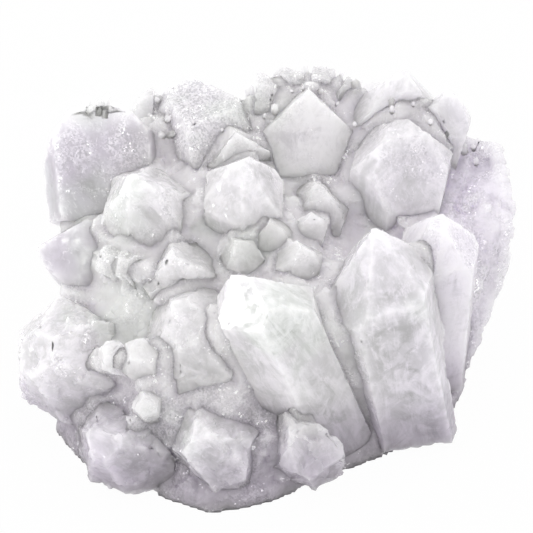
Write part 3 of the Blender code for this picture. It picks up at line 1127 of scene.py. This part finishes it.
@dataclass
class Druse:
    """Small crystals that grew on the back ridge, where the large ones left room."""

    ground: bpy.types.Object
    count: int = 80
    seed: int = 4
    smallest: float = 2.2 * MM
    largest: float = 6.0 * MM
    kinds: int = 5
    low: float = 30 * MM
    front: float = 30 * MM
    steepest: float = -0.25
    clearance: float = 0.1 * MM
    reach: float = 3.5 * MM
    everywhere: float = 0.05
    stray: float = 0.25
    width: float = 1.2
    piece: bpy.types.Object = field(init=False, default=None)

    def model(self) -> None:
        """Models a few points and sets a copy of one at each chosen spot."""
        draw = random.Random(self.seed)
        patterns = [self.point(draw) for _ in range(self.kinds)]
        grown = [self.plant(draw.choice(patterns), spot, draw) for spot in self.spots(draw)]
        for pattern in patterns:
            bpy.data.objects.remove(pattern)
        self.piece = join(grown, "druse")

    def point(self, draw: random.Random) -> bpy.types.Object:
        """One small crystal, a unit long: a six-sided column with an uneven tip and eased edges.

        Args:
            draw: where chance comes from.

        Returns:
            The crystal, its middle at the origin.
        """
        bpy.ops.object.select_all(action="DESELECT")
        thick = draw.uniform(0.16, 0.3)
        bpy.ops.mesh.primitive_cylinder_add(vertices=6, radius=thick, depth=1.0, location=(0, 0, 0))
        made = bpy.context.active_object
        bpy.ops.object.mode_set(mode="EDIT")
        bpy.ops.mesh.select_all(action="DESELECT")
        bpy.ops.object.mode_set(mode="OBJECT")
        for face in made.data.polygons:
            face.select = face.normal.z > 0.9
        bpy.ops.object.mode_set(mode="EDIT")
        bpy.ops.mesh.select_mode(type="FACE")
        bpy.ops.mesh.poke(offset=thick * draw.uniform(1.1, 1.7))
        bpy.ops.mesh.select_all(action="SELECT")
        bpy.ops.mesh.bevel(offset=thick * 0.06, segments=1, affect="EDGES")
        bpy.ops.object.mode_set(mode="OBJECT")
        skew = Vector((draw.uniform(-0.16, 0.16), draw.uniform(-0.16, 0.16), 0))
        shoulder = 0.3
        for vert in made.data.vertices:
            vert.co += skew * max(0.0, vert.co.z - shoulder)
        return made

    def spots(self, draw: random.Random) -> list:
        """Where small crystals grow: bare quartz, most of it close beside a large crystal.

        Args:
            draw: where chance comes from.

        Returns:
            Pairs of a place and the direction that the quartz faces.
        """
        faces = self.ground.data.polygons
        centres = np.array([face.center[:] for face in faces])
        normals = np.array([face.normal[:] for face in faces])
        clear = -in_crystals(centres)
        bare = (normals[:, 2] > self.steepest) & (clear > self.clearance)
        bare &= (centres[:, 2] > self.low) & (centres[:, 1] > self.front)
        weight = np.where(bare, np.exp(-clear / self.reach) + self.everywhere, 0.0)
        chosen = draw.choices(range(len(faces)), weights=weight.tolist(), k=self.count)
        return [(Vector(centres[index]), Vector(normals[index])) for index in chosen]

    def plant(self, pattern: bpy.types.Object, spot: tuple, draw: random.Random) -> bpy.types.Object:
        """Sets a copy of a small crystal on the quartz.

        Args:
            pattern: the crystal to copy.
            spot: a place and the direction that the quartz faces.
            draw: where chance comes from.

        Returns:
            The copy, with its place in its mesh.
        """
        place, facing = spot
        size = self.smallest + (self.largest - self.smallest) * draw.random() ** 2.0
        stray = Vector([draw.gauss(0, self.stray) for _ in range(3)])
        along = (facing * 0.7 + Vector((0, -0.1, 0.8)) + stray).normalized()
        turn = along.to_track_quat("Z", "Y").to_matrix().to_4x4()
        spin = Matrix.Rotation(draw.uniform(0, math.pi / 3), 4, "Z")
        copy = bpy.data.objects.new("druse_point", pattern.data.copy())
        bpy.context.scene.collection.objects.link(copy)
        thick = size * self.width
        stretch = Matrix.Diagonal((thick, thick, size * draw.uniform(0.9, 1.4), 1))
        copy.data.transform(Matrix.Translation(place + along * size * 0.02) @ turn @ spin @ stretch)
        shade = draw.random()
        # The druse gets a little painted crevice light too.
        looks = {"edge": 0.25, "facet": shade, "etched": 0.3, "core": 0.6, "hollow": 0.3}
        for name, value in looks.items():
            give(copy, name, value)
        give_place(copy, points_of(copy) + 0.1 * shade)
        return copy

    def dress(self, materials: dict) -> None:
        """Gives the piece its finish and its place in the model."""
        settle(self.piece, MILKY, materials)


# ---------------------------------------------------------------- studio


@dataclass(frozen=True)
class Softbox:
    """One lamp of the studio, aimed at the cluster."""

    name: str
    toward: tuple
    distance: float
    size: float
    power: float

    def place(self, target: Vector) -> None:
        """Hangs the lamp and turns it to the target.

        Args:
            target: what it lights.
        """
        data = bpy.data.lights.new(self.name, "AREA")
        data.shape = "SQUARE"
        data.size = self.size
        data.energy = self.power
        lamp = bpy.data.objects.new(self.name, data)
        toward = Vector(self.toward).normalized()
        lamp.location = target + toward * self.distance
        lamp.rotation_euler = toward.to_track_quat("Z", "Y").to_euler()
        bpy.context.scene.collection.objects.link(lamp)


@dataclass
class Studio:
    """The pale floor, the soft light and the camera. The last two lamps show as highlights on two facets."""

    elevation: float = math.radians(40)
    lens: float = 135.0
    film: float = 36.0
    field: float = 172.7 * MM
    aim_side: float = -0.4 * MM
    aim_front: float = -68.8 * MM
    aim_up: float = 79.2 * MM
    middle: float = 45 * MM
    floor_side: float = 12.0
    floor_roughness: float = 0.9
    bounce: float = 0.75
    seen_light: float = 0.97
    surround: float = 1.1
    lamps: tuple = (
        Softbox("key_softbox", (-0.35, 0.35, 1.0), 0.9, 0.5, 0.3),
        Softbox("back_softbox", (0.45, 0.6, 1.0), 0.9, 0.6, 0.5),
        Softbox("left_strip", (-0.90, -0.42, 0.14), 0.9, 0.13, 0.9),
        Softbox("far_strip", (-0.77, 0.64, 0.08), 0.9, 0.13, 0.9),
    )

    def build(self) -> None:
        """Sets up the whole studio."""
        self.lay_floor()
        self.light()
        self.place_camera()

    def lay_floor(self) -> None:
        """A wide pale floor that the cluster rests on. It looks brighter than the light it gives back."""
        bpy.ops.object.select_all(action="DESELECT")
        bpy.ops.mesh.primitive_grid_add(x_subdivisions=8, y_subdivisions=8, size=self.floor_side)
        floor = bpy.context.active_object
        floor.name = "floor"
        paper = bpy.data.materials.new("studio_paper")
        paper.use_nodes = True
        sheet = Sheet(paper.node_tree)
        shader = paper.node_tree.nodes["Principled BSDF"]
        shader.inputs["Base Color"].default_value = (self.bounce, self.bounce, self.bounce, 1.0)
        shader.inputs["Roughness"].default_value = self.floor_roughness
        shine = sheet.add("ShaderNodeEmission")
        path = sheet.add("ShaderNodeLightPath")
        seen = sheet.calc("MULTIPLY", path.outputs["Is Camera Ray"], self.seen_light)
        mixed = sheet.add("ShaderNodeMixShader")
        sheet.feed(mixed.inputs[0], seen)
        sheet.feed(mixed.inputs[1], shader.outputs[0])
        sheet.feed(mixed.inputs[2], shine.outputs[0])
        sheet.feed(paper.node_tree.nodes["Material Output"].inputs["Surface"], mixed.outputs[0])
        floor.data.materials.append(paper)

    def light(self) -> None:
        """Bright even surroundings, and the softboxes."""
        world = bpy.data.worlds.new("studio")
        bpy.context.scene.world = world
        world.use_nodes = True
        sky = world.node_tree.nodes["Background"]
        sky.inputs["Color"].default_value = (1.0, 1.0, 1.0, 1.0)
        sky.inputs["Strength"].default_value = self.surround
        for lamp in self.lamps:
            lamp.place(Vector((0, 0, self.middle)))
        bpy.context.scene.view_settings.view_transform = "Standard"

    def place_camera(self) -> None:
        """A long lens that looks down at the front."""
        back = Vector((0, -math.cos(self.elevation), math.sin(self.elevation)))
        up = Vector((0, math.sin(self.elevation), math.cos(self.elevation)))
        aim = Vector((self.aim_side, self.aim_front, 0)) + up * self.aim_up
        aim -= back * back.dot(aim - Vector((0, 0, self.middle)))
        data = bpy.data.cameras.new("camera")
        data.lens = self.lens
        data.sensor_width = self.film
        camera = bpy.data.objects.new("camera", data)
        camera.location = aim + back * (self.field * self.lens / self.film)
        camera.rotation_euler = back.to_track_quat("Z", "Y").to_euler()
        bpy.context.scene.collection.objects.link(camera)
        bpy.context.scene.camera = camera


def main() -> None:
    """Builds the cluster's pieces in order, then the studio."""
    logging.basicConfig(level=logging.INFO, format="%(message)s")
    noise.seed_set(NOISE_SEED)
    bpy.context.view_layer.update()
    effects = (GrowthVeils(), EtchedSparkle(), ClusterTintAndPaintedShade())
    groups = {made.name: made for made in (effect.make() for effect in effects)}
    finishes = (CLEAR, MILKY, SUGARY, HAZY, FROSTED, MASSIVE)
    materials = {finish.name: finish.make(groups) for finish in finishes}
    for number, crystal in enumerate(CRYSTALS):
        crystal.seed = number
        crystal.model()
        crystal.dress(materials)
    block = MassiveQuartz()
    block.model()
    block.dress(materials)
    druse = Druse(block.piece)
    druse.model()
    druse.dress(materials)
    Studio().build()


if __name__ == "__main__":
    main()
